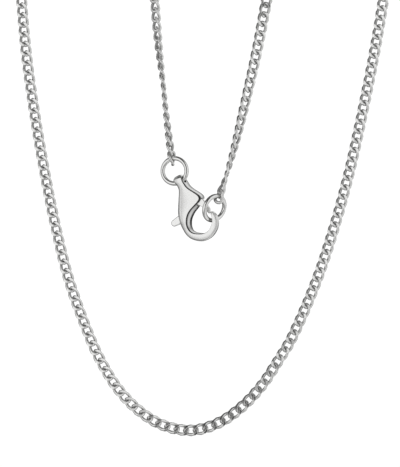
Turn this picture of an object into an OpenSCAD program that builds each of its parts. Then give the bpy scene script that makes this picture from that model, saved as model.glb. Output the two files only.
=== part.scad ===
// Curb chain necklace with a lobster clasp, hanging as a whole loop.
// X runs to the right, Y away from the front and Z up. The origin is the level of the two pegs.

/* [Chain] */
// Width of the chain seen from its face
chain_width = 2.12; // [1.9:0.02:2.2]
// Thickness of the chain seen from its edge
chain_thickness = 1.1; // [0.9:0.05:1.2]
// Distance from one link to the next
link_pitch = 1.71; // [1.6:0.01:1.8]
// Diameter of the wire of a link
link_wire = 0.5; // [0.4:0.01:0.54]

/* [Jump rings] */
// Outer diameter of a jump ring
ring_diameter = 5.3; // [5.1:0.05:5.4]
// Diameter of the wire of a jump ring
ring_wire = 0.8; // [0.6:0.05:0.85]

/* [Clasp] */
// Thickness of the body of the clasp
body_thickness = 2.2; // [2:0.05:2.3]
// Thickness of the lever
lever_thickness = 0.6; // [0.5:0.05:0.7]
// Play between the lever and each wall of its slot
lever_play = 0.08; // [0.05:0.01:0.12]
// Radius of the pin that the lever turns on
pin_radius = 0.35; // [0.25:0.01:0.4]
// Play between the pin and the lever
pin_play = 0.04; // [0.03:0.01:0.08]
// Radius of the hole through the bail
bail_radius = 0.64; // [0.6:0.01:0.68]

/* [Hidden] */

// Left half of the chain, from the bottom of the loop over its peg to the left jump ring.
// Columns: x, y, z, roll in degrees.
left_route = [
    [-3.9, 0, -116.6, 0],
    [-8.9, 0, -115.6, -4],
    [-13.2, 0, -112.9, -8],
    [-16.8, 0, -109.1, -12],
    [-19.6, 0, -104.6, -14],
    [-21.8, 0, -99.9, -15],
    [-25.4, 0, -90, -16],
    [-27.9, 0, -80, -17],
    [-29.9, 0, -70, -18],
    [-31.6, 0, -60, -18],
    [-33, 0, -50, -18],
    [-33.9, 0, -40, -18],
    [-35, 0, -22, -16],
    [-35.2, 0, -10.5, -12],
    [-31.9, 0, -2.4, -4],
    [-23.8, 0, 1.05, 6],
    [-15.7, 0, -2.4, 16],
    [-12.4, 0, -10.5, 24],
    [-11.6, 0, -24, 34],
    [-10.2, 0, -40, 46],
    [-9.8, 0.1, -45, 55],
    [-9.3, 0.3, -50, 73],
    [-8.7, 0.5, -55, 87],
    [-8.2, 0.8, -60, 98],
    [-7.6, 1.1, -65, 112],
    [-7.15, 1.2, -68.1, 118]
];
// Right half of the chain, from the bottom of the loop to the right jump ring
right_route = [
    [-3.9, 0, -116.6, 0],
    [0.9, 0, -115.4, -4],
    [5.1, 0, -112.6, -8],
    [8.8, 0, -108.7, -12],
    [11.8, 0, -104.2, -14],
    [14.3, 0, -100, -15],
    [18.6, 0, -90, -16],
    [21.9, 0, -80, -17],
    [24.6, 0, -70, -18],
    [26.8, 0, -60, -18],
    [28.8, 0, -50, -18],
    [30.5, 0, -40, -18],
    [33.1, 0, -22, -16],
    [34.1, 0, -9.6, -14],
    [31.2, 0, -2, -12],
    [24.2, 0, 1.05, -10],
    [17.2, 0, -2, -8],
    [14.3, 0, -9, -6],
    [12.4, 0, -24, -4],
    [9.7, 0, -40, -6],
    [7.8, 0, -50, -20],
    [5.5, -0.2, -60, -43],
    [4.3, -0.3, -65, -62],
    [2.9, -0.6, -70, -80],
    [1.35, -0.83, -74.96, -130]
];
// Longest distance from one ring of the tube to the next
ring_step = 6.2;
tube_sides = 8;

// Links
link_turns = 16;
wire_sides = 6;
// Angle that a link is twisted through from one end to the other
link_twist = -90;
link_half_length = (link_pitch + link_wire) / 2 + 0.01;
link_half_width = (chain_width - link_wire) / 2;
// The tube ends where the end link begins
link_clearance = 0.08;
tube_end_cut = link_half_length + link_wire / 2 + link_clearance;

// Jump rings: centre, and the turns about the vertical axis and about the line from lower left to upper right
ring_radius = (ring_diameter - ring_wire) / 2;
left_ring_at = [-6.66, 1.05, -70.38];
left_ring_turn = -18;
right_ring_at = [0.42, -0.76, -77.04];
right_ring_axis = 64;
right_ring_tilt = 42.5;

// Clasp: place of its bail, its lean in the plane of the loop and its turn about its own length
clasp_at = [-5.7, 0.73, -72.28];
clasp_lean = -17.6;
clasp_turn = -24;
// The hole of the bail follows the ring, which leans more than the clasp
bail_lean = 9;
body_sides = 16;
// Sections of the body, from the top of the bail down the left limb and round the hook to its tip.
// Columns: outer x, outer z, inner x, inner z, thickness as a share of the body's, softness of the outer edge.
body_sections = [
    [-0.6, 1.05, 0.5, 1.15, 0.3, 0.7],
    [-0.86, 0.85, 0.7, 0.97, 0.66, 0.6],
    [-0.95, 0.5, 0.78, 0.55, 0.92, 0.6],
    [-0.86, 0.05, 0.82, 0.05, 1, 0.6],
    [-0.66, -0.5, 0.9, -0.45, 1, 0.65],
    [-0.6, -1.3, 1.2, -1.3, 0.84, 0.7],
    [-0.82, -2, 1.72, -2.05, 0.8, 0.7],
    [-1.15, -2.75, 2.4, -2.8, 0.78, 0.7],
    [-1.4, -3.4, 2.93, -3.5, 0.8, 0.7],
    [-1.6, -3.9, 2.98, -4.02, 0.86, 0.7],
    [-1.74, -4.3, 2.45, -4.48, 0.92, 0.7],
    [-1.92, -4.85, 1.67, -4.96, 1, 0.7],
    [-2.08, -5.4, 0.86, -5.44, 1, 0.7],
    [-2.2, -6, 0.08, -6.04, 1, 0.7],
    [-2.32, -6.8, -0.55, -6.86, 0.95, 0.7],
    [-2.28, -7.6, -0.88, -7.66, 0.84, 0.68],
    [-2.16, -8.4, -0.94, -8.42, 0.74, 0.64],
    [-1.94, -9.3, -0.76, -9.1, 0.64, 0.6],
    [-1.34, -10.28, -0.22, -9.62, 0.58, 0.56],
    [-0.3, -11, 0.55, -9.97, 0.56, 0.52],
    [0.85, -11.4, 1.3, -10.16, 0.55, 0.48],
    [2.1, -11.35, 2.05, -10.12, 0.53, 0.44],
    [3.25, -10.85, 2.78, -9.82, 0.52, 0.4],
    [4.2, -9.98, 3.42, -9.22, 0.5, 0.38],
    [4.68, -8.98, 3.88, -8.55, 0.5, 0.36],
    [4.8, -8.08, 4, -8.03, 0.48, 0.36],
    [4.68, -7.45, 4, -7.6, 0.46, 0.4],
    [4.46, -7, 4.02, -7.18, 0.42, 0.5],
    [4.26, -6.78, 4.09, -6.88, 0.34, 0.7]
];
// Softness of the inner edge, where 1 is round and 0 square
inner_softness = 0.26;
// Slot of the lever, open to the left and to the hole of the hook
slot_outline = [
    [-4, -4], [-0.6, -3.7], [0.5, -3.1], [1.1, -2.85], [4.5, -2.85],
    [4.5, -6.2], [-0.2, -6.5], [-1.9, -7.45], [-4, -8]
];

// Lever: its pin, and the outlines of its thumb tab and gate
pin_at = [1.6, -3.9];
hub_radius = 0.85;
tab_at = [-3.5, -6.78];
tab_radius = 0.6;
tab_outline = [
    [1.4, -3.3], [-1, -5.1], [-2.33, -5.76], [-3.3, -6.2],
    [-3.6, -7.37], [-2.6, -7.3], [-1.2, -6.45], [1.5, -4.6]
];
gate_outline = [
    [2.1, -3.5], [3.2, -4.15], [3.65, -5.2], [3.98, -6.2], [3.84, -6.7], [3.8, -6.95],
    [3.68, -7.05], [3.54, -7], [3.36, -6.65], [3.05, -6.1], [2.5, -5.3], [1.7, -4.6]
];

// Position along one span of a route: cubic between two points whose tangents follow their neighbours
function place(route, i) = [route[i][0], route[i][1], route[i][2]];
function span(route, i) = norm(place(route, i + 1) - place(route, i));
// The loop is level at its lowest point, where both halves start
function tangent(route, i) =
    i == 0 ? [sign(route[1][0] - route[0][0]), 0, 0]
    : i == len(route) - 1 ? (place(route, i) - place(route, i - 1)) / span(route, i - 1)
    : (place(route, i + 1) - place(route, i - 1)) / (span(route, i - 1) + span(route, i));
function along(route, i, t) =
    (2 * t * t * t - 3 * t * t + 1) * place(route, i)
    + (t * t * t - 2 * t * t + t) * span(route, i) * tangent(route, i)
    + (3 * t * t - 2 * t * t * t) * place(route, i + 1)
    + (t * t * t - t * t) * span(route, i) * tangent(route, i + 1);
function heading(route, i, t) =
    let (
        slope = (6 * t * t - 6 * t) * (place(route, i) - place(route, i + 1))
            + (3 * t * t - 4 * t + 1) * span(route, i) * tangent(route, i)
            + (3 * t * t - 2 * t) * span(route, i) * tangent(route, i + 1)
    )
    slope / norm(slope);

// Direction of the chain's width at a heading and roll, and of its thickness
function side_of(dir) = let (s = cross([0, 1, 0], dir)) s / norm(s);
function width_dir(dir, roll) = let (s = side_of(dir)) cos(roll) * s + sin(roll) * cross(dir, s);
function thick_dir(dir, roll) = cross(dir, width_dir(dir, roll));

// Rings of the tube: every point of a route and the places between them, and its last point drawn back
function tube_steps(route) = [
    for (i = [0:len(route) - 2])
        let (parts = ceil(span(route, i) / ring_step))
        for (k = [0:parts - 1])
            [i, k / parts]
];
function tube_ring(at, dir, roll) = [
    for (k = [0:tube_sides - 1])
        let (a = 360 * (k + 0.5) / tube_sides)
        at + chain_width / 2 * cos(a) / cos(180 / tube_sides) * width_dir(dir, roll)
            - chain_thickness / 2 * sin(a) / cos(180 / tube_sides) * thick_dir(dir, roll)
];
function roll_at(route, i, t) = route[i][3] * (1 - t) + route[i + 1][3] * t;

// Closed skin over rows of points, each row joined to the next, with both ends filled
module skin(rows) {
    sides = len(rows[0]);
    last = (len(rows) - 1) * sides;
    walls = [
        for (r = [0:len(rows) - 2], k = [0:sides - 1])
            let (a = r * sides + k, b = r * sides + (k + 1) % sides)
            each [[a, b, b + sides], [a, b + sides, a + sides]]
    ];
    ends = [
        [for (k = [sides - 1:-1:0]) k],
        [for (k = [0:sides - 1]) last + k]
    ];
    polyhedron(points = [for (row = rows) each row], faces = concat(walls, ends), convexity = 10);
}

module half_chain(route) {
    last = len(route) - 2;
    cut = 1 - tube_end_cut / span(route, last);
    steps = concat(tube_steps(route), [[last, cut]]);
    color("silver")
        skin([
            for (s = steps)
                tube_ring(along(route, s[0], s[1]), heading(route, s[0], s[1]), roll_at(route, s[0], s[1]))
        ]);
}

// One link: a loop of wire, twisted about the line of the chain
function link_place(at, dir, roll, a) =
    let (turn = roll + link_twist / 2 * cos(a))
    at + link_half_length * cos(a) * dir + link_half_width * sin(a) * width_dir(dir, turn);
module end_link(route) {
    last = len(route) - 1;
    at = place(route, last);
    dir = heading(route, last - 1, 1);
    roll = route[last][3];
    step = 360 / link_turns;
    points = [
        for (k = [0:link_turns - 1])
            let (
                a = k * step,
                here = link_place(at, dir, roll, a),
                ahead = link_place(at, dir, roll, a + step / 4) - link_place(at, dir, roll, a - step / 4),
                way = ahead / norm(ahead),
                out = cross(way, thick_dir(dir, roll)),
                side = out / norm(out),
                up = cross(side, way)
            )
            for (j = [0:wire_sides - 1])
                let (b = 360 * j / wire_sides)
                here + link_wire / 2 * (cos(b) * side + sin(b) * up)
    ];
    faces = [
        for (k = [0:link_turns - 1], j = [0:wire_sides - 1])
            let (
                a = k * wire_sides + j,
                b = k * wire_sides + (j + 1) % wire_sides,
                c = (k + 1) % link_turns * wire_sides + (j + 1) % wire_sides,
                d = (k + 1) % link_turns * wire_sides + j
            )
            each [[a, b, c], [a, c, d]]
    ];
    color("silver") polyhedron(points = points, faces = faces, convexity = 10);
}

module jump_ring() {
    color("silver")
        rotate([90, 0, 0])
            rotate_extrude($fn = 64)
                translate([ring_radius, 0])
                    circle(d = ring_wire, $fn = 24);
}
module jump_ring_left() {
    translate(left_ring_at)
        rotate([0, 0, left_ring_turn])
            jump_ring();
}
// The long axis of the tilted ring runs from lower left to upper right
module jump_ring_right() {
    translate(right_ring_at)
        rotate([0, -right_ring_axis, 0])
            rotate([right_ring_tilt, 0, 0])
                jump_ring();
}

// Stands a flat outline of the clasp up in its middle plane
module clasp_plate(thickness) {
    translate([0, thickness / 2, 0])
        rotate([90, 0, 0])
            linear_extrude(thickness)
                children();
}
module place_clasp() {
    translate(clasp_at)
        rotate([0, clasp_lean, 0])
            rotate([0, 0, clasp_turn])
                children();
}
function soft(value, power) = sign(value) * pow(abs(value), power);
function body_ring(row) =
    let (
        middle = [row[0] + row[2], row[1] + row[3]] / 2,
        half = [row[2] - row[0], row[3] - row[1]] / 2
    )
    [
        for (k = [0:body_sides - 1])
            let (
                a = 360 * k / body_sides,
                power = cos(a) > 0 ? inner_softness : row[5],
                s = soft(cos(a), power),
                v = soft(sin(a), power) * row[4] * body_thickness / 2
            )
            [middle[0] + s * half[0], v, middle[1] + s * half[1]]
    ];
module clasp_body() {
    slot_thickness = lever_thickness + 2 * lever_play;
    color("silver")
        place_clasp()
            union() {
                difference() {
                    skin([for (row = body_sections) body_ring(row)]);
                    clasp_plate(slot_thickness) polygon(slot_outline);
                    rotate([0, 90 - bail_lean, 0]) cylinder(r = bail_radius, h = 2 * body_thickness, center = true, $fn = 32);
                }
                translate([pin_at[0], 0, pin_at[1]])
                    rotate([90, 0, 0])
                        cylinder(r = pin_radius, h = slot_thickness + pin_radius, center = true, $fn = 32);
            }
}
module clasp_lever() {
    color("gainsboro")
        place_clasp()
            difference() {
                union() {
                    clasp_plate(lever_thickness) translate(pin_at) circle(r = hub_radius, $fn = 48);
                    clasp_plate(lever_thickness) translate(tab_at) circle(r = tab_radius, $fn = 32);
                    clasp_plate(lever_thickness) polygon(tab_outline);
                    clasp_plate(lever_thickness) polygon(gate_outline);
                }
                translate([pin_at[0], 0, pin_at[1]])
                    rotate([90, 0, 0])
                        cylinder(r = pin_radius + pin_play, h = body_thickness, center = true, $fn = 32);
            }
}

module chain_left() half_chain(left_route);
module chain_right() half_chain(right_route);
module end_link_left() end_link(left_route);
module end_link_right() end_link(right_route);

chain_left();
chain_right();
end_link_left();
end_link_right();
jump_ring_left();
jump_ring_right();
clasp_body();
clasp_lever();
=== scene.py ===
"""Looks of a twisted chain necklace: curb links, jump rings and a lobster clasp in polished silver."""

import random
from math import cos, radians, sin

import bmesh
import bpy
from mathutils import Matrix, Vector


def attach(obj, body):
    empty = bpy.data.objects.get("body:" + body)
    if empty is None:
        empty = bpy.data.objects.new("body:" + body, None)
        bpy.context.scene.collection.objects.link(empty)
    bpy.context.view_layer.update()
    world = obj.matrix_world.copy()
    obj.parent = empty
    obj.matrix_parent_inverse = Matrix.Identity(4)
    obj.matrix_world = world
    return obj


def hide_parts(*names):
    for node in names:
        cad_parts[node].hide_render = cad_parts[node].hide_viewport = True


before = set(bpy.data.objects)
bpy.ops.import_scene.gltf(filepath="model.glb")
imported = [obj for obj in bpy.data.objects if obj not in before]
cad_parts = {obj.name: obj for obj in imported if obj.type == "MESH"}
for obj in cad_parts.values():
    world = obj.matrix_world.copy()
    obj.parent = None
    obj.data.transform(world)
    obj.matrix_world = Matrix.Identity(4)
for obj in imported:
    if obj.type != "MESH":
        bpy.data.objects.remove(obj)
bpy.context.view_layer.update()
bpy.ops.object.select_all(action="DESELECT")

MM = 0.001

# Chain, in millimetres, as in the part's source: x, y, z and roll in degrees from point to point
LEFT_ROUTE = [
    (-3.9, 0, -116.6, 0), (-8.9, 0, -115.6, -4), (-13.2, 0, -112.9, -8), (-16.8, 0, -109.1, -12),
    (-19.6, 0, -104.6, -14), (-21.8, 0, -99.9, -15), (-25.4, 0, -90, -16), (-27.9, 0, -80, -17),
    (-29.9, 0, -70, -18), (-31.6, 0, -60, -18), (-33, 0, -50, -18), (-33.9, 0, -40, -18),
    (-35, 0, -22, -16), (-35.2, 0, -10.5, -12), (-31.9, 0, -2.4, -4), (-23.8, 0, 1.05, 6),
    (-15.7, 0, -2.4, 16), (-12.4, 0, -10.5, 24), (-11.6, 0, -24, 34), (-10.2, 0, -40, 46),
    (-9.8, 0.1, -45, 55), (-9.3, 0.3, -50, 73), (-8.7, 0.5, -55, 87), (-8.2, 0.8, -60, 98),
    (-7.6, 1.1, -65, 112), (-7.15, 1.2, -68.1, 118),
]
RIGHT_ROUTE = [
    (-3.9, 0, -116.6, 0), (0.9, 0, -115.4, -4), (5.1, 0, -112.6, -8), (8.8, 0, -108.7, -12),
    (11.8, 0, -104.2, -14), (14.3, 0, -100, -15), (18.6, 0, -90, -16), (21.9, 0, -80, -17),
    (24.6, 0, -70, -18), (26.8, 0, -60, -18), (28.8, 0, -50, -18), (30.5, 0, -40, -18),
    (33.1, 0, -22, -16), (34.1, 0, -9.6, -14), (31.2, 0, -2, -12), (24.2, 0, 1.05, -10),
    (17.2, 0, -2, -8), (14.3, 0, -9, -6), (12.4, 0, -24, -4), (9.7, 0, -40, -6), (7.8, 0, -50, -20),
    (5.5, -0.2, -60, -43), (4.3, -0.3, -65, -62), (2.9, -0.6, -70, -80), (1.35, -0.83, -74.96, -130),
]
LINK_PITCH = 1.71
LINK_WIRE = 0.58
LINK_WIDTH = 2.12
LINK_TWIST = -90
# Height of the flat that filing leaves on the front and back of every link, from the chain's middle
LINK_FLAT = 0.44
# Play of each link in the next, and how far its roll may stray, in degrees
LINK_PLAY = 0.01
LINK_STRAY = 2
LINK_SIDES = 16
LINK_WIRE_SIDES = 6
# Corners of a link nearer than this to its middle stay where they are when it is drawn out
LINK_MIDDLE = 0.01
ROUTE_STEPS = 60

# Jump rings
RING_DIAMETER = 5.3
RING_WIRE = 0.8
RING_SIDES = 120
RING_WIRE_SIDES = 28
LEFT_RING_AT = (-6.66, 1.05, -70.38)
LEFT_RING_TURN = -18
RIGHT_RING_AT = (0.42, -0.76, -77.04)
RIGHT_RING_AXIS = 64
RIGHT_RING_TILT = 42.5

# Clasp: the place of its bail, its lean and its turn
CLASP_AT = (-5.7, 0.73, -72.28)
CLASP_LEAN = -17.6
CLASP_TURN = -24
BODY_THICKNESS = 2.2
LEVER_THICKNESS = 0.6
LEVER_PLAY = 0.08
BAIL_RADIUS = 0.64
BAIL_LEAN = 9
BAIL_HOLE_LENGTH = 6
PIN_AT = (1.6, -3.9)
HUB_RADIUS = 0.85
TAB_AT = (-3.5, -6.78)
TAB_RADIUS = 0.6
HUB_SIDES = 64
BAIL_HOLE_SIDES = 48
# Widths of the lever's softened edges, their steps, and the angle in degrees past which an edge is softened
TAB_EDGE = 0.2
GATE_EDGE = 0.08
HUB_EDGE = 0.05
EDGE_STEPS = 4
EDGE_ANGLE = 50
# Steps from section to section of the body, round its outer edge and across its face
SECTION_STEPS = 3
ROUND_STEPS = 8
DOME_STEPS = 4
# Height of the face's dome, as a share of the face's width
FACE_DOME = 0.02
# The outer edge is rounded by at most these shares of half the thickness and of the width
ROUND_OF_HALF = 0.98
ROUND_OF_WIDTH = 0.6
# The lip at the back: its width and that of its rim, both no more than a share of half the thickness and
# of the lean, where along the lean the inner wall has corners, and the rim's height as a share of half
LIP_WIDTH = 0.5
LIP_OF_HALF = 0.5
LEAN_CORNERS = (0.3, 0.7)
RIM_WIDTH = 0.12
RIM_OF_LEAN = 0.6
RIM_HEIGHT = 0.12
# Sections from the top of the bail down the limb and round the hook to its tip. Columns: outer x and z,
# inner x and z, share of the thickness, rounding of the outer edge, width and depth of the groove that
# runs beside the face's inner edge, and how far the inner wall leans out to the lip at the back
BODY_SECTIONS = [
    (-0.34, 1.06, 0.26, 1.14, 0.2, 0.1, 0.02, 0.02, 0),
    (-0.62, 0.96, 0.5, 1.06, 0.44, 0.3, 0.03, 0.04, 0),
    (-0.84, 0.78, 0.7, 0.88, 0.7, 0.5, 0.04, 0.06, 0),
    (-0.95, 0.5, 0.76, 0.55, 0.9, 0.6, 0.05, 0.1, 0.02),
    (-0.86, 0.05, 0.78, 0.05, 0.95, 0.6, 0.08, 0.14, 0.04),
    (-0.66, -0.5, 0.84, -0.45, 0.9, 0.7, 0.1, 0.2, 0.08),
    (-0.6, -1.3, 1.08, -1.3, 0.84, 0.8, 0.12, 0.26, 0.1),
    (-0.82, -2, 1.6, -2.05, 0.8, 0.8, 0.14, 0.3, 0.1),
    (-1.15, -2.75, 2.28, -2.8, 0.78, 0.8, 0.16, 0.36, 0.1),
    (-1.4, -3.4, 2.78, -3.5, 0.8, 0.8, 0.2, 0.42, 0.1),
    (-1.6, -3.9, 2.8, -4.02, 0.86, 0.85, 0.24, 0.5, 0.1),
    (-1.74, -4.3, 2.25, -4.48, 0.92, 0.9, 0.24, 0.5, 0.2),
    (-1.92, -4.85, 1.35, -4.96, 1, 0.9, 0.22, 0.5, 0.5),
    (-2.08, -5.4, 0.48, -5.44, 1, 0.9, 0.2, 0.4, 0.7),
    (-2.2, -6, -0.2, -6.04, 1, 0.9, 0.18, 0.3, 0.46),
    (-2.32, -6.8, -0.74, -6.86, 0.95, 0.85, 0.14, 0.28, 0.24),
    (-2.28, -7.6, -1.04, -7.66, 0.84, 0.8, 0.12, 0.26, 0.2),
    (-2.16, -8.4, -1.08, -8.42, 0.74, 0.7, 0.12, 0.26, 0.16),
    (-1.94, -9.3, -0.88, -9.1, 0.64, 0.62, 0.12, 0.24, 0.12),
    (-1.34, -10.28, -0.34, -9.62, 0.58, 0.6, 0.12, 0.2, 0.08),
    (-0.3, -11, 0.5, -9.97, 0.56, 0.55, 0.08, 0.1, 0.04),
    (0.85, -11.4, 1.3, -10.16, 0.55, 0.5, 0.06, 0.06, 0),
    (2.1, -11.35, 2.05, -10.12, 0.53, 0.4, 0.05, 0.05, 0),
    (3.25, -10.85, 2.78, -9.82, 0.52, 0.28, 0.05, 0.05, 0),
    (4.2, -9.98, 3.4, -9.22, 0.5, 0.2, 0.05, 0.05, 0),
    (4.68, -8.98, 3.86, -8.55, 0.5, 0.16, 0.05, 0.05, 0),
    (4.8, -8.08, 3.98, -8.03, 0.48, 0.16, 0.05, 0.05, 0),
    (4.68, -7.45, 3.98, -7.6, 0.46, 0.16, 0.05, 0.05, 0),
    (4.46, -7, 4, -7.18, 0.42, 0.14, 0.04, 0.04, 0),
    (4.26, -6.78, 4.08, -6.88, 0.34, 0.08, 0.02, 0.02, 0),
]
# Outlines in the clasp's middle plane, as x and z: the slot for the lever, its thumb tab and its gate
SLOT_OUTLINE = [
    (-4, -4), (-0.6, -3.7), (0.5, -3.1), (1.1, -2.9), (1.9, -2.95), (2.45, -3.58), (3.25, -4.1),
    (4.5, -4.9), (4.5, -6.2), (1.9, -5.5), (1.55, -4.68), (-1.14, -6.53), (-2.6, -7.36), (-4, -8),
]
TAB_END = [
    (TAB_AT[0] + TAB_RADIUS * cos(radians(turn)), TAB_AT[1] + TAB_RADIUS * sin(radians(turn)))
    for turn in range(108, 276, 18)
]
TAB_OUTLINE = [
    (1.4, -3.3), (-1, -5.1), (-2.33, -5.76), *TAB_END, (-2.6, -7.3), (-1.2, -6.45), (1.5, -4.6),
]
GATE_OUTLINE = [
    (2.1, -3.5), (3.2, -4.15), (3.65, -5.2), (3.98, -6.2), (3.84, -6.7), (3.8, -6.95),
    (3.68, -7.05), (3.54, -7), (3.36, -6.65), (3.05, -6.1), (2.5, -5.3), (1.7, -4.6),
]


# Painted shade in hollows and along edges, from 0 for bright silver to 1 for black

# On a link, by how far a corner lies towards the hole, as a share of the wire's radius
LINK_PAINTED_SHADE = ((0.9, 0.8), (0.4, 0.35))
# On the clasp, at both sides of each strip, counted from the face's inner edge: the groove's wall and floor,
# the inner wall where it starts and ends, and the lip's wall and rim
CLASP_PAINTED_SHADE = {0: (0.9, 1), 1: (1, 0.9), 2: (0.9, 0), 4: (0.3, 1), 5: (1, 1), 6: (1, 0.2)}
# The painted shade line along the face's outer edge, darker where that edge is sharp, and the strip beside
# it
SHARP_ROUNDING = 0.3
SHARP_LINE = 0.6
SOFT_LINE = 0.35
BESIDE_LINE = 0.1
# The lip's line is full where the inner wall leans out by this much or more
FULL_LEAN = 0.2

# Angles in degrees under which neighbouring faces are shaded as one
LINK_SMOOTH = 75
RING_SMOOTH = 40
CLASP_SMOOTH = 35


# Working at the bench: pieces are made in millimetres and brought to metres when they are finished


def alone(piece):
    """Makes one piece the only one selected."""
    bpy.ops.object.select_all(action="DESELECT")
    piece.select_set(True)
    bpy.context.view_layer.objects.active = piece
    return piece


def apply_place(piece):
    alone(piece)
    bpy.ops.object.transform_apply(location=True, rotation=True, scale=True)
    return piece


def pick(piece, test):
    """Selects the corners of the open mesh whose place passes a test."""
    mesh = bmesh.from_edit_mesh(piece.data)
    for corner in mesh.verts:
        corner.select_set(test(corner.co))
    mesh.select_flush_mode()
    bmesh.update_edit_mesh(piece.data)


def open_mesh(piece):
    alone(piece)
    bpy.ops.object.mode_set(mode="EDIT")
    bpy.ops.mesh.select_mode(type="VERT")


def close_mesh():
    bpy.ops.object.mode_set(mode="OBJECT")


def finish_with(piece, kind, **values):
    """Adds a modifier with its values and applies it."""
    alone(piece)
    modifier = piece.modifiers.new(kind.lower(), kind)
    for key, value in values.items():
        setattr(modifier, key, value)
    bpy.ops.object.modifier_apply(modifier=modifier.name)


def join(pieces):
    alone(pieces[0])
    for piece in pieces:
        piece.select_set(True)
    bpy.ops.object.join()
    return pieces[0]


def copy_of(piece, place):
    copy = piece.copy()
    copy.data = piece.data.copy()
    copy.matrix_world = place
    bpy.context.scene.collection.objects.link(copy)
    return copy


def hand_over(piece, name, body, material, *nodes, smooth):
    """Brings a piece to metres and puts it on its body, with its finish, in place of CAD nodes."""
    apply_place(piece)
    piece.scale = (MM, MM, MM)
    apply_place(piece)
    open_mesh(piece)
    bpy.ops.mesh.select_all(action="SELECT")
    bpy.ops.mesh.normals_make_consistent(inside=False)
    close_mesh()
    bpy.ops.object.shade_smooth_by_angle(angle=radians(smooth))
    piece.name = name
    piece.data.materials.clear()
    piece.data.materials.append(material)
    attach(piece, body)
    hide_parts(*nodes)
    return piece


# Materials

# Painted shade's colour, the noise scale of the dull patches, and the full height of the waves in metres
PAINTED_SHADE_COLOUR = (0.015, 0.015, 0.015, 1)
PATCH_SCALE = 700
WAVE_HEIGHT = 0.0001


def new_material(name):
    material = bpy.data.materials.new(name)
    material.use_nodes = True
    return material, material.node_tree.nodes, material.node_tree.links


def make_polish_group():
    """Marks of polishing: faint waves left by the mop, and slightly dull patches."""
    group = bpy.data.node_groups.new("polish_marks", "ShaderNodeTree")
    face = group.interface
    for label in ("Wave Scale", "Wave Depth", "Patchiness", "Base Roughness"):
        face.new_socket(label, in_out="INPUT", socket_type="NodeSocketFloat")
    face.new_socket("Roughness", in_out="OUTPUT", socket_type="NodeSocketFloat")
    face.new_socket("Normal", in_out="OUTPUT", socket_type="NodeSocketVector")
    nodes, links = group.nodes, group.links
    given = nodes.new("NodeGroupInput")
    result = nodes.new("NodeGroupOutput")
    place = nodes.new("ShaderNodeTexCoord")
    waves = nodes.new("ShaderNodeTexNoise")
    waves.inputs["Detail"].default_value = 2
    links.new(place.outputs["Object"], waves.inputs["Vector"])
    links.new(given.outputs["Wave Scale"], waves.inputs["Scale"])
    bump = nodes.new("ShaderNodeBump")
    bump.inputs["Distance"].default_value = WAVE_HEIGHT
    links.new(given.outputs["Wave Depth"], bump.inputs["Strength"])
    links.new(waves.outputs["Fac"], bump.inputs["Height"])
    links.new(bump.outputs["Normal"], result.inputs["Normal"])
    patches = nodes.new("ShaderNodeTexNoise")
    patches.inputs["Scale"].default_value = PATCH_SCALE
    patches.inputs["Detail"].default_value = 4
    links.new(place.outputs["Object"], patches.inputs["Vector"])
    dull = nodes.new("ShaderNodeMath")
    dull.operation = "MULTIPLY_ADD"
    links.new(patches.outputs["Fac"], dull.inputs[0])
    links.new(given.outputs["Patchiness"], dull.inputs[1])
    links.new(given.outputs["Base Roughness"], dull.inputs[2])
    links.new(dull.outputs[0], result.inputs["Roughness"])
    return group


polish_marks = make_polish_group()


def make_silver(name, colour, wave_scale, wave_depth, patchiness, roughness):
    """Polished silver in one of its finishes."""
    material, nodes, links = new_material(name)
    shader = nodes["Principled BSDF"]
    shader.inputs["Base Color"].default_value = (*colour, 1)
    shader.inputs["Metallic"].default_value = 1
    marks = nodes.new("ShaderNodeGroup")
    marks.node_tree = polish_marks
    marks.inputs["Wave Scale"].default_value = wave_scale
    marks.inputs["Wave Depth"].default_value = wave_depth
    marks.inputs["Patchiness"].default_value = patchiness
    marks.inputs["Base Roughness"].default_value = roughness
    links.new(marks.outputs["Roughness"], shader.inputs["Roughness"])
    links.new(marks.outputs["Normal"], shader.inputs["Normal"])
    return material


def make_painted_shade_group():
    """Painted shade in the hollows: the shade value written on the mesh darkens the silver and dulls the
    metal.
    """
    group = bpy.data.node_groups.new("painted_shade_group", "ShaderNodeTree")
    face = group.interface
    face.new_socket("Silver", in_out="INPUT", socket_type="NodeSocketColor")
    face.new_socket("Color", in_out="OUTPUT", socket_type="NodeSocketColor")
    face.new_socket("Metallic", in_out="OUTPUT", socket_type="NodeSocketFloat")
    nodes, links = group.nodes, group.links
    given = nodes.new("NodeGroupInput")
    result = nodes.new("NodeGroupOutput")
    painted_shade = nodes.new("ShaderNodeAttribute")
    painted_shade.attribute_name = "painted_shade"
    shade_paint = nodes.new("ShaderNodeMix")
    shade_paint.data_type = "RGBA"
    shade_paint.inputs["B"].default_value = PAINTED_SHADE_COLOUR
    links.new(given.outputs["Silver"], shade_paint.inputs["A"])
    links.new(painted_shade.outputs["Fac"], shade_paint.inputs["Factor"])
    links.new(shade_paint.outputs["Result"], result.inputs["Color"])
    bare = nodes.new("ShaderNodeMath")
    bare.operation = "SUBTRACT"
    bare.inputs[0].default_value = 1
    links.new(painted_shade.outputs["Fac"], bare.inputs[1])
    links.new(bare.outputs[0], result.inputs["Metallic"])
    return group


painted_shade_group = make_painted_shade_group()


def darken_with_painted_shade(material):
    """Lets the painted shade show on a silver."""
    nodes, links = material.node_tree.nodes, material.node_tree.links
    shader = nodes["Principled BSDF"]
    shader.inputs["Specular IOR Level"].default_value = 0
    shade_paint = nodes.new("ShaderNodeGroup")
    shade_paint.node_tree = painted_shade_group
    shade_paint.inputs["Silver"].default_value = shader.inputs["Base Color"].default_value
    links.new(shade_paint.outputs["Color"], shader.inputs["Base Color"])
    links.new(shade_paint.outputs["Metallic"], shader.inputs["Metallic"])


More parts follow.
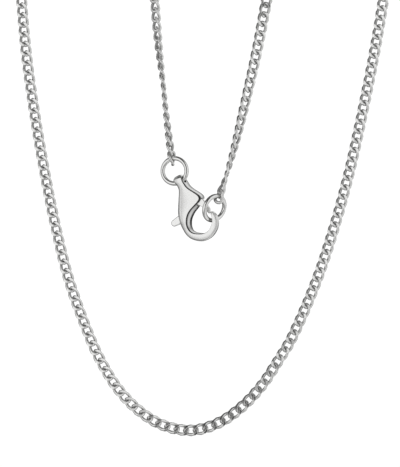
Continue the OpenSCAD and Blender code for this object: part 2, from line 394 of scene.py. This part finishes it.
link_silver = make_silver(
    "link_silver", (0.88, 0.88, 0.87), wave_scale=2500, wave_depth=0.1, patchiness=0.1, roughness=0.12
)
ring_silver = make_silver(
    "ring_silver", (0.84, 0.84, 0.83), wave_scale=1500, wave_depth=0.06, patchiness=0.08, roughness=0.08
)
cast_silver = make_silver(
    "cast_silver", (0.86, 0.86, 0.85), wave_scale=700, wave_depth=0.08, patchiness=0.1, roughness=0.12
)
lever_silver = make_silver(
    "lever_silver", (0.9, 0.9, 0.89), wave_scale=900, wave_depth=0.08, patchiness=0.15, roughness=0.15
)
# Painted shade darkens the cast body and the links in their hollows and along edges
darken_with_painted_shade(cast_silver)
darken_with_painted_shade(link_silver)


# Chain


def sampled(route):
    """Places, headings and rolls along a route in small steps, with the distance from its start."""
    places = [Vector(point[:3]) for point in route]
    spans = [(after - before).length for before, after in zip(places, places[1:])]
    last = len(places) - 1
    tangents = []
    for i in range(len(places)):
        if i == 0:
            tangents.append(Vector((1 if places[1].x > places[0].x else -1, 0, 0)))
        elif i == last:
            tangents.append((places[i] - places[i - 1]) / spans[i - 1])
        else:
            tangents.append((places[i + 1] - places[i - 1]) / (spans[i - 1] + spans[i]))
    samples = []
    distance = 0
    before = places[0]
    for i, span in enumerate(spans):
        for step in range(ROUTE_STEPS):
            t = step / ROUTE_STEPS
            here = (
                (2 * t**3 - 3 * t**2 + 1) * places[i]
                + (t**3 - 2 * t**2 + t) * span * tangents[i]
                + (3 * t**2 - 2 * t**3) * places[i + 1]
                + (t**3 - t**2) * span * tangents[i + 1]
            )
            slope = (
                (6 * t**2 - 6 * t) * (places[i] - places[i + 1])
                + (3 * t**2 - 4 * t + 1) * span * tangents[i]
                + (3 * t**2 - 2 * t) * span * tangents[i + 1]
            )
            distance += (here - before).length
            before = here
            roll = route[i][3] * (1 - t) + route[i + 1][3] * t
            samples.append((distance, here, slope.normalized(), roll))
    distance += (places[-1] - before).length
    samples.append((distance, places[-1], tangents[-1].normalized(), route[-1][3]))
    return samples


def at_distance(samples, distance):
    """Place, heading and roll at a distance along a sampled route."""
    after = next((i for i, sample in enumerate(samples) if sample[0] >= distance), len(samples) - 1)
    after = max(after, 1)
    low, high = samples[after - 1], samples[after]
    share = (distance - low[0]) / (high[0] - low[0])
    return (
        low[1].lerp(high[1], share),
        low[2].lerp(high[2], share).normalized(),
        low[3] + (high[3] - low[3]) * share,
    )


def link_frame(place, heading, roll):
    """Stands a link at a place, its length along the heading and its width turned by the roll."""
    level = Vector((0, 1, 0)).cross(heading).normalized()
    turned = cos(radians(roll)) * level + sin(radians(roll)) * heading.cross(level)
    through = heading.cross(turned)
    frame_of_link = Matrix((heading, turned, through)).transposed().to_4x4()
    frame_of_link.translation = place
    return frame_of_link


def make_link(pitch):
    """One curb link: a ring of wire, drawn out to an oval and twisted by a quarter turn."""
    half_width = (LINK_WIDTH - LINK_WIRE) / 2
    stretch = (pitch + LINK_WIRE) / 2 + LINK_PLAY - half_width
    bpy.ops.mesh.primitive_torus_add(
        major_segments=LINK_SIDES, minor_segments=LINK_WIRE_SIDES,
        major_radius=half_width, minor_radius=LINK_WIRE / 2,
    )
    link = bpy.context.object
    # Painted shade on the inner side of the wire, round the hole where the next link passes
    painted_shade = link.data.attributes.new("painted_shade", "FLOAT", "CORNER")
    for loop in link.data.loops:
        at = link.data.vertices[loop.vertex_index].co
        inward = (half_width - at.xy.length) / (LINK_WIRE / 2)
        painted_shade.data[loop.index].value = next((dark for share, dark in LINK_PAINTED_SHADE if inward > share), 0)
    open_mesh(link)
    pick(link, lambda at: at.x > LINK_MIDDLE)
    bpy.ops.transform.translate(value=(stretch, 0, 0))
    pick(link, lambda at: at.x < -LINK_MIDDLE)
    bpy.ops.transform.translate(value=(-stretch, 0, 0))
    close_mesh()
    finish_with(link, "SIMPLE_DEFORM", deform_method="TWIST", deform_axis="X", angle=radians(LINK_TWIST))
    open_mesh(link)
    for side in (-1, 1):
        bpy.ops.mesh.select_all(action="SELECT")
        bpy.ops.mesh.bisect(
            plane_co=(0, 0, LINK_FLAT * side), plane_no=(0, 0, side), use_fill=True, clear_outer=True
        )
        bpy.ops.mesh.region_to_loop()
        bpy.ops.mesh.mark_sharp()
    close_mesh()
    return link


def make_chain():
    """Sets curb links along both halves at an even pitch, and the two end links in the jump rings."""
    left, right = sampled(LEFT_ROUTE), sampled(RIGHT_ROUTE)
    whole = left[-1][0] + right[-1][0]
    count = round(whole / LINK_PITCH)
    pitch = whole / count
    link = make_link(pitch)
    loose = random.Random(4)
    halves = {"left": [], "right": []}
    for number in range(1, count):
        distance = left[-1][0] - number * pitch
        side = "left" if distance >= 0 else "right"
        place, heading, roll = at_distance(left if side == "left" else right, abs(distance))
        # Links are counted from the left end, and each half's heading runs from the bottom to its own end
        place_of_link = link_frame(place, heading, roll + loose.uniform(-LINK_STRAY, LINK_STRAY))
        halves[side].append(copy_of(link, place_of_link))
    for side, samples in (("left", left), ("right", right)):
        place, heading, roll = at_distance(samples, samples[-1][0])
        end = copy_of(link, link_frame(place, heading, roll))
        hand_over(
            end, f"end_curb_link_{side}", "necklace", link_silver, f"end_link_{side}", smooth=LINK_SMOOTH
        )
        chain = join(halves[side])
        hand_over(
            chain, f"curb_links_{side}", "necklace", link_silver, f"chain_{side}", smooth=LINK_SMOOTH
        )
    bpy.data.objects.remove(link)


make_chain()


# Jump rings


def make_jump_ring(name, place, node):
    """A ring of round wire, soldered shut."""
    radius = (RING_DIAMETER - RING_WIRE) / 2
    bpy.ops.mesh.primitive_torus_add(
        major_segments=RING_SIDES, minor_segments=RING_WIRE_SIDES,
        major_radius=radius, minor_radius=RING_WIRE / 2, rotation=(radians(90), 0, 0),
    )
    ring = bpy.context.object
    apply_place(ring)
    ring.matrix_world = place
    return hand_over(ring, name, "necklace", ring_silver, node, smooth=RING_SMOOTH)


make_jump_ring(
    "round_ring_left",
    Matrix.Translation(LEFT_RING_AT) @ Matrix.Rotation(radians(LEFT_RING_TURN), 4, "Z"),
    "jump_ring_left",
)
make_jump_ring(
    "round_ring_right",
    Matrix.Translation(RIGHT_RING_AT)
    @ Matrix.Rotation(radians(-RIGHT_RING_AXIS), 4, "Y")
    @ Matrix.Rotation(radians(RIGHT_RING_TILT), 4, "X"),
    "jump_ring_right",
)


# Clasp

CLASP_PLACE = (
    Matrix.Translation(CLASP_AT)
    @ Matrix.Rotation(radians(CLASP_LEAN), 4, "Y")
    @ Matrix.Rotation(radians(CLASP_TURN), 4, "Z")
)


def between(rows, steps):
    """Rows on a smooth curve through the given rows, several to each span."""
    smooth = []
    for i in range(len(rows) - 1):
        before, low = rows[max(i - 1, 0)], rows[i]
        high, after = rows[i + 1], rows[min(i + 2, len(rows) - 1)]
        for step in range(steps):
            t = step / steps
            smooth.append([
                b + 0.5 * t * (c - a + t * (2 * a - 5 * b + 4 * c - d + t * (3 * (b - c) + d - a)))
                for a, b, c, d in zip(before, low, high, after)
            ])
    return smooth + [list(rows[-1])]


def section_corners(row):
    """Corners of one section: rounded outside, a slightly domed face, and the groove and the lip inside."""
    outer_x, outer_z, inner_x, inner_z, share_of_body, rounding, groove, depth, lip = row
    outer, inner = Vector((outer_x, 0, outer_z)), Vector((inner_x, 0, inner_z))
    face_width = (inner - outer).length
    way = (inner - outer) / face_width
    width = face_width + groove
    half = share_of_body * BODY_THICKNESS / 2
    rounding = min(rounding, ROUND_OF_HALF * half, ROUND_OF_WIDTH * width)
    corners = []
    for number in range(ROUND_STEPS + 1):
        angle = radians(90 * number / ROUND_STEPS)
        corners.append((rounding * (1 - cos(angle)), rounding * (1 - sin(angle)) - half))
    back = [(along, -deep) for along, deep in reversed(corners)]
    face = width - groove - rounding
    for number in range(1, DOME_STEPS):
        angle = radians(180 * number / DOME_STEPS)
        corners.append((rounding + face * number / DOME_STEPS, -half - FACE_DOME * face * sin(angle)))
    floor = depth - half
    lip_foot = half - min(LIP_WIDTH, LIP_OF_HALF * half)
    rim = min(RIM_WIDTH, RIM_OF_LEAN * lip)
    rim_foot = half - RIM_HEIGHT * half
    inside = [
        (width - groove, -half), (width - groove, floor), (width, floor),
        *((width + share * lip, (1 - share) * floor + share * lip_foot) for share in LEAN_CORNERS),
        (width + lip, lip_foot), (width + lip, rim_foot), (width + lip + rim, rim_foot),
        (width + lip + rim, half),
    ]
    return [outer + way * along + Vector((0, deep, 0)) for along, deep in corners + inside + back]


def paint_shade_on_edges(limb, rows, count):
    """Writes how dark each corner of the mesh is with painted shade, in the groove and along the edges."""
    painted_shade = limb.data.attributes.new("painted_shade", "FLOAT", "CORNER")
    face_edge = ROUND_STEPS + DOME_STEPS
    for face in limb.data.polygons:
        corners = [limb.data.loops[loop].vertex_index for loop in face.loop_indices]
        places = {corner % count for corner in corners}
        # The two end faces span a whole section and stay bright
        if len(places) != 2:
            continue
        low, high = min(places), max(places)
        for loop, corner in zip(face.loop_indices, corners):
            place = corner % count
            *_, rounding, _, _, lip = rows[corner // count]
            if place == ROUND_STEPS and low >= ROUND_STEPS - 1:
                dark = SHARP_LINE if rounding < SHARP_ROUNDING else SOFT_LINE
            elif place == ROUND_STEPS + 1 and high <= ROUND_STEPS + 2:
                dark = BESIDE_LINE
            else:
                dark = CLASP_PAINTED_SHADE.get(low - face_edge, (0, 0))[place == high]
            # Past the groove the line along the back's lip fades where the lip is low
            if low > face_edge + 2:
                dark *= min(lip / FULL_LEAN, 1)
            painted_shade.data[loop].value = dark


def make_limb(sections):
    """Extrudes an end face from section to section into one closed limb."""
    rows = between(sections, SECTION_STEPS)
    first = section_corners(rows[0])
    bpy.ops.mesh.primitive_circle_add(vertices=len(first), fill_type="NGON")
    limb = bpy.context.object
    for corner, place in zip(limb.data.vertices, first):
        corner.co = place
    open_mesh(limb)
    bpy.ops.mesh.select_mode(type="FACE")
    bpy.ops.mesh.select_all(action="SELECT")
    for row in rows[1:]:
        bpy.ops.mesh.extrude_region_move()
        mesh = bmesh.from_edit_mesh(limb.data)
        end = next(face for face in mesh.faces if face.select)
        for corner, place in zip(end.verts, section_corners(row)):
            corner.co = place
        bmesh.update_edit_mesh(limb.data)
    bpy.ops.mesh.select_all(action="SELECT")
    bpy.ops.mesh.normals_make_consistent(inside=False)
    close_mesh()
    paint_shade_on_edges(limb, rows, len(first))
    return limb


def make_plate(outline, thickness):
    """A flat plate in the clasp's middle plane, cut to an outline."""
    bpy.ops.mesh.primitive_circle_add(vertices=len(outline), fill_type="NGON")
    plate = bpy.context.object
    for corner, (x, z) in zip(plate.data.vertices, outline):
        corner.co = (x, 0, z)
    finish_with(plate, "SOLIDIFY", thickness=thickness, offset=0)
    return plate


def make_clasp_body():
    """The cast body, with the lever's slot and the hole through the bail."""
    body = make_limb(BODY_SECTIONS)
    slot = make_plate(SLOT_OUTLINE, LEVER_THICKNESS + 2 * LEVER_PLAY)
    finish_with(body, "BOOLEAN", operation="DIFFERENCE", object=slot, solver="EXACT")
    bpy.data.objects.remove(slot)
    bpy.ops.mesh.primitive_cylinder_add(
        vertices=BAIL_HOLE_SIDES, radius=BAIL_RADIUS, depth=BAIL_HOLE_LENGTH,
        rotation=(0, radians(90 - BAIL_LEAN), 0),
    )
    hole = bpy.context.object
    finish_with(body, "BOOLEAN", operation="DIFFERENCE", object=hole, solver="EXACT")
    bpy.data.objects.remove(hole)
    body.matrix_world = CLASP_PLACE
    return hand_over(body, "cast_body", "necklace", cast_silver, "clasp_body", smooth=CLASP_SMOOTH)


def make_lever():
    """The lever: thumb tab, gate and hub, each with softened edges, joined in one."""
    tab = make_plate(TAB_OUTLINE, LEVER_THICKNESS)
    gate = make_plate(GATE_OUTLINE, LEVER_THICKNESS)
    bpy.ops.mesh.primitive_cylinder_add(
        vertices=HUB_SIDES, radius=HUB_RADIUS, depth=LEVER_THICKNESS,
        location=(PIN_AT[0], 0, PIN_AT[1]), rotation=(radians(90), 0, 0),
    )
    hub = bpy.context.object
    for part, edge in ((tab, TAB_EDGE), (gate, GATE_EDGE), (hub, HUB_EDGE)):
        finish_with(
            part, "BEVEL", width=edge, segments=EDGE_STEPS,
            limit_method="ANGLE", angle_limit=radians(EDGE_ANGLE),
        )
    for part in (gate, hub):
        finish_with(tab, "BOOLEAN", operation="UNION", object=part, solver="EXACT")
        bpy.data.objects.remove(part)
    tab.matrix_world = CLASP_PLACE
    return hand_over(tab, "sprung_lever", "lever", lever_silver, "clasp_lever", smooth=CLASP_SMOOTH)


make_clasp_body()
make_lever()


# Studio: a pale floor, a grey tent, a white sheet and the camera

FLOOR_SIZE = 3000
FLOOR_HEIGHT = -600
# The camera stands where one pixel of the photo is 0.178 mm
CAMERA_AT = Vector((-2.14, -346.4, -81.56))
LENS = 150
SENSOR = 36
NEAREST = 10
SHEET_STRENGTH = 1.05


def make_floor():
    bpy.ops.mesh.primitive_plane_add(size=FLOOR_SIZE * MM, location=(0, 0, FLOOR_HEIGHT * MM))
    floor = bpy.context.object
    floor.name = "pale_floor"
    material, nodes, _ = new_material("pale_floor")
    shader = nodes["Principled BSDF"]
    shader.inputs["Base Color"].default_value = (0.95, 0.95, 0.95, 1)
    shader.inputs["Roughness"].default_value = 0.9
    floor.data.materials.append(material)
    # The tent goes on below the floor for the silver, as round a photographer's table
    floor.visible_glossy = False
    floor.visible_shadow = False


# Cards of the tent: direction, cosines of the angles where it fades out and is full, and brightness
TENT_CARDS = [
    ("front_left", (-0.7, -0.7, 0), 0.65, 0.92, 0.95),
    ("left", (-0.95, 0.3, 0.1), 0.8, 0.95, 0.5),
    ("front_right", (0.7, -0.65, 0.2), 0.65, 0.92, 0.9),
    ("right", (0.95, 0.2, -0.3), 0.7, 0.92, 0.7),
    ("below", (0.45, -0.1, -0.9), 0.72, 0.93, 0.8),
    ("above", (-0.3, -0.1, 0.95), 0.6, 0.85, 0.1),
    ("behind", (-0.25, 0.95, -0.1), 0.6, 0.85, 0.05),
    ("back_right", (0.45, 0.78, 0.42), 0.84, 0.95, 0.8),
    ("camera", (0, -1, 0.1), 0.9, 0.97, 0.03),
    ("above_camera", (0, -0.85, 0.5), 0.9, 0.97, 0.05),
]
# Brightness of the tent between the cards
TENT_SHADE = 0.32


def make_tent():
    """A grey tent of bright and dark cards, in front of a white sheet that the camera and the floor see."""
    world = bpy.data.worlds.new("soft_tent")
    bpy.context.scene.world = world
    world.use_nodes = True
    nodes, links = world.node_tree.nodes, world.node_tree.links
    place = nodes.new("ShaderNodeTexCoord")
    brightness = None
    for name, axis, fade_out, full, strength in TENT_CARDS:
        agree = nodes.new("ShaderNodeVectorMath")
        agree.operation = "DOT_PRODUCT"
        agree.inputs[1].default_value = Vector(axis).normalized()
        links.new(place.outputs["Generated"], agree.inputs[0])
        card = nodes.new("ShaderNodeMapRange")
        card.interpolation_type = "SMOOTHSTEP"
        card.inputs["From Min"].default_value = fade_out
        card.inputs["From Max"].default_value = full
        links.new(agree.outputs["Value"], card.inputs["Value"])
        cover = nodes.new("ShaderNodeMix")
        cover.name = name
        cover.inputs["A"].default_value = TENT_SHADE
        cover.inputs["B"].default_value = strength
        links.new(card.outputs[0], cover.inputs["Factor"])
        if brightness:
            links.new(brightness, cover.inputs["A"])
        brightness = cover.outputs["Result"]
    tent = nodes["Background"]
    tent.inputs["Color"].default_value = (1, 1, 1, 1)
    links.new(brightness, tent.inputs["Strength"])
    sheet = nodes.new("ShaderNodeBackground")
    sheet.inputs["Color"].default_value = (1, 1, 1, 1)
    sheet.inputs["Strength"].default_value = SHEET_STRENGTH
    ray = nodes.new("ShaderNodeLightPath")
    sees_sheet = nodes.new("ShaderNodeMath")
    sees_sheet.operation = "MAXIMUM"
    links.new(ray.outputs["Is Camera Ray"], sees_sheet.inputs[0])
    links.new(ray.outputs["Is Diffuse Ray"], sees_sheet.inputs[1])
    choice = nodes.new("ShaderNodeMixShader")
    links.new(sees_sheet.outputs[0], choice.inputs["Fac"])
    links.new(tent.outputs[0], choice.inputs[1])
    links.new(sheet.outputs[0], choice.inputs[2])
    links.new(choice.outputs[0], nodes["World Output"].inputs["Surface"])


def make_camera():
    """A long lens, level with the middle of the photo's view of the necklace."""
    bpy.ops.object.camera_add(location=CAMERA_AT * MM, rotation=(radians(90), 0, 0))
    camera = bpy.context.object
    camera.data.lens = LENS
    camera.data.sensor_width = SENSOR
    camera.data.clip_start = NEAREST * MM
    bpy.context.scene.camera = camera


bpy.context.scene.view_settings.view_transform = "Standard"
make_floor()
make_tent()
make_camera()
